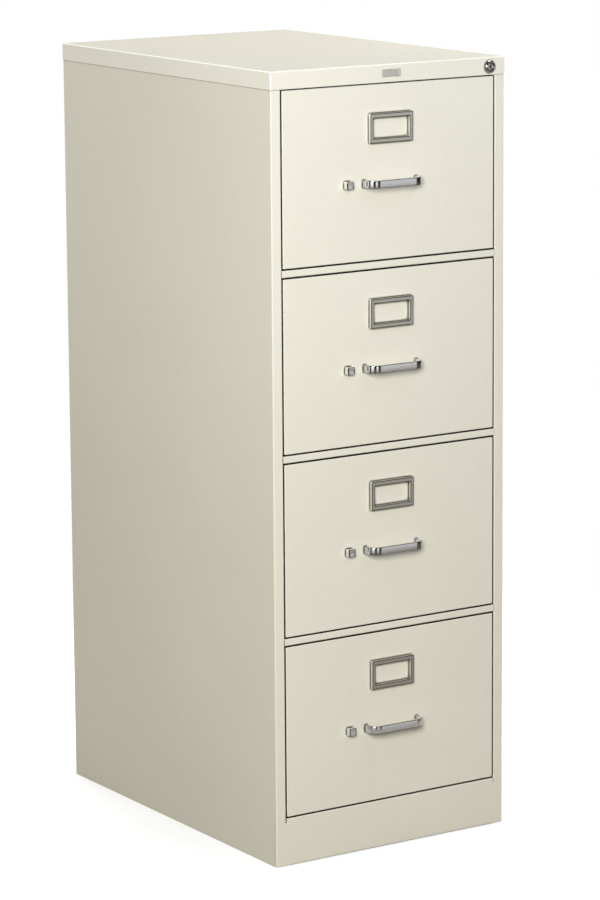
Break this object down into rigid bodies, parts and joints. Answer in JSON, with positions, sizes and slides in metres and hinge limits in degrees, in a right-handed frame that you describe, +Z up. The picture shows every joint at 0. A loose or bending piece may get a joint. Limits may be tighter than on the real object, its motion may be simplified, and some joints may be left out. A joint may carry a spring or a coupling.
{
  "type": "vertical file cabinet",
  "caption": "Tall painted steel file cabinet with full-extension legal-size drawers, bow pulls, thumb latches, label holders and a gang lock in the top lip.",
  "frame": {"origin": "middle of the base on the floor, under the centre of the whole box, pulls included", "axes": "+X to the right seen from the front, +Y to the back (the drawers open towards -Y), +Z up"},
  "size_m": [0.4636, 0.6972, 1.3208],
  "materials": {
    "cabinet_paint": "satin",
    "drawer_paint": "satin",
    "follower_paint": "satin",
    "bright_chrome": "polished",
    "brushed_plate": "brushed",
    "zinc_plate": "satin",
    "spring_steel": "polished",
    "lock_metal": "satin",
    "plate_aluminium": "satin",
    "bumper_rubber": "matte"
  },
  "bodies": {
    "case": {"side_panel_left": "cabinet_paint", "side_panel_right": "cabinet_paint", "back_panel": "cabinet_paint", "top_cap": "cabinet_paint", "base_kick": "cabinet_paint", "case_floor": "cabinet_paint", "cross_rails": "cabinet_paint", "slide_posts": "cabinet_paint", "slide_outer_members": "zinc_plate", "case_fasteners": "zinc_plate", "rubber_bumpers": "bumper_rubber", "lock_housing": "bright_chrome", "nameplate": "plate_aluminium"},
    "lock_bar": {"lock_bar": "zinc_plate"},
    "lock_plug": {"lock_plug": "lock_metal", "lock_cam": "zinc_plate"},
    "drawer_1": {"drawer_1_front": "drawer_paint", "drawer_1_body": "drawer_paint", "drawer_1_pull": "bright_chrome", "drawer_1_label_holder": "brushed_plate", "drawer_1_slide_inner": "zinc_plate", "drawer_1_latch_spring": "spring_steel"},
    "runner_1": {"drawer_1_slide_middle": "zinc_plate", "drawer_1_ball_cages": "spring_steel"},
    "latch_1": {"drawer_1_latch_button": "bright_chrome", "drawer_1_latch_bar": "zinc_plate"},
    "follower_1": {"drawer_1_follower": "follower_paint"},
    "drawer_2": {"drawer_2_front": "drawer_paint", "drawer_2_body": "drawer_paint", "drawer_2_pull": "bright_chrome", "drawer_2_label_holder": "brushed_plate", "drawer_2_slide_inner": "zinc_plate", "drawer_2_latch_spring": "spring_steel"},
    "runner_2": {"drawer_2_slide_middle": "zinc_plate", "drawer_2_ball_cages": "spring_steel"},
    "latch_2": {"drawer_2_latch_button": "bright_chrome", "drawer_2_latch_bar": "zinc_plate"},
    "follower_2": {"drawer_2_follower": "follower_paint"},
    "drawer_3": {"drawer_3_front": "drawer_paint", "drawer_3_body": "drawer_paint", "drawer_3_pull": "bright_chrome", "drawer_3_label_holder": "brushed_plate", "drawer_3_slide_inner": "zinc_plate", "drawer_3_latch_spring": "spring_steel"},
    "runner_3": {"drawer_3_slide_middle": "zinc_plate", "drawer_3_ball_cages": "spring_steel"},
    "latch_3": {"drawer_3_latch_button": "bright_chrome", "drawer_3_latch_bar": "zinc_plate"},
    "follower_3": {"drawer_3_follower": "follower_paint"},
    "drawer_4": {"drawer_4_front": "drawer_paint", "drawer_4_body": "drawer_paint", "drawer_4_pull": "bright_chrome", "drawer_4_label_holder": "brushed_plate", "drawer_4_slide_inner": "zinc_plate", "drawer_4_latch_spring": "spring_steel"},
    "runner_4": {"drawer_4_slide_middle": "zinc_plate", "drawer_4_ball_cages": "spring_steel"},
    "latch_4": {"drawer_4_latch_button": "bright_chrome", "drawer_4_latch_bar": "zinc_plate"},
    "follower_4": {"drawer_4_follower": "follower_paint"}
  },
  "joints": [
    {"name": "drawer_1_slide", "type": "slide", "parent": "case", "child": "drawer_1", "axis": [0, -1, 0], "range_m": [0, 0.6]},
    {"name": "drawer_1_runner", "type": "slide", "parent": "case", "child": "runner_1", "axis": [0, -1, 0], "range_m": [0, 0.3]},
    {"name": "drawer_1_thumb_latch", "type": "slide", "parent": "drawer_1", "child": "latch_1", "axis": [1, 0, 0], "range_m": [0, 0.0065], "stiffness_N_per_m": 400, "springref_m": -0.003, "deforming": ["drawer_1_latch_spring"]},
    {"name": "drawer_1_follower_slide", "type": "slide", "parent": "drawer_1", "child": "follower_1", "axis": [0, -1, 0], "range_m": [0, 0.48]},
    {"name": "drawer_2_slide", "type": "slide", "parent": "case", "child": "drawer_2", "axis": [0, -1, 0], "range_m": [0, 0.6]},
    {"name": "drawer_2_runner", "type": "slide", "parent": "case", "child": "runner_2", "axis": [0, -1, 0], "range_m": [0, 0.3]},
    {"name": "drawer_2_thumb_latch", "type": "slide", "parent": "drawer_2", "child": "latch_2", "axis": [1, 0, 0], "range_m": [0, 0.0065], "stiffness_N_per_m": 400, "springref_m": -0.003, "deforming": ["drawer_2_latch_spring"]},
    {"name": "drawer_2_follower_slide", "type": "slide", "parent": "drawer_2", "child": "follower_2", "axis": [0, -1, 0], "range_m": [0, 0.48]},
    {"name": "drawer_3_slide", "type": "slide", "parent": "case", "child": "drawer_3", "axis": [0, -1, 0], "range_m": [0, 0.6]},
    {"name": "drawer_3_runner", "type": "slide", "parent": "case", "child": "runner_3", "axis": [0, -1, 0], "range_m": [0, 0.3]},
    {"name": "drawer_3_thumb_latch", "type": "slide", "parent": "drawer_3", "child": "latch_3", "axis": [1, 0, 0], "range_m": [0, 0.0065], "stiffness_N_per_m": 400, "springref_m": -0.003, "deforming": ["drawer_3_latch_spring"]},
    {"name": "drawer_3_follower_slide", "type": "slide", "parent": "drawer_3", "child": "follower_3", "axis": [0, -1, 0], "range_m": [0, 0.48]},
    {"name": "drawer_4_slide", "type": "slide", "parent": "case", "child": "drawer_4", "axis": [0, -1, 0], "range_m": [0, 0.6]},
    {"name": "drawer_4_runner", "type": "slide", "parent": "case", "child": "runner_4", "axis": [0, -1, 0], "range_m": [0, 0.3]},
    {"name": "drawer_4_thumb_latch", "type": "slide", "parent": "drawer_4", "child": "latch_4", "axis": [1, 0, 0], "range_m": [0, 0.0065], "stiffness_N_per_m": 400, "springref_m": -0.003, "deforming": ["drawer_4_latch_spring"]},
    {"name": "drawer_4_follower_slide", "type": "slide", "parent": "drawer_4", "child": "follower_4", "axis": [0, -1, 0], "range_m": [0, 0.48]},
    {"name": "lock_bar_lift", "type": "slide", "parent": "case", "child": "lock_bar", "axis": [0, 0, 1], "range_m": [0, 0.014]},
    {"name": "lock_plug_turn", "type": "hinge", "parent": "case", "child": "lock_plug", "pos_m": [0.2005, -0.3236, 1.305], "axis": [0, -1, 0], "range_deg": [0, 90]}
  ],
  "couplings": [
    {"joint": "drawer_1_runner", "follows": "drawer_1_slide", "ratio": 0.5},
    {"joint": "drawer_2_runner", "follows": "drawer_2_slide", "ratio": 0.5},
    {"joint": "drawer_3_runner", "follows": "drawer_3_slide", "ratio": 0.5},
    {"joint": "drawer_4_runner", "follows": "drawer_4_slide", "ratio": 0.5},
    {"joint": "lock_plug_turn", "follows": "lock_bar_lift", "rad_per_m": 112.19}
  ]
}
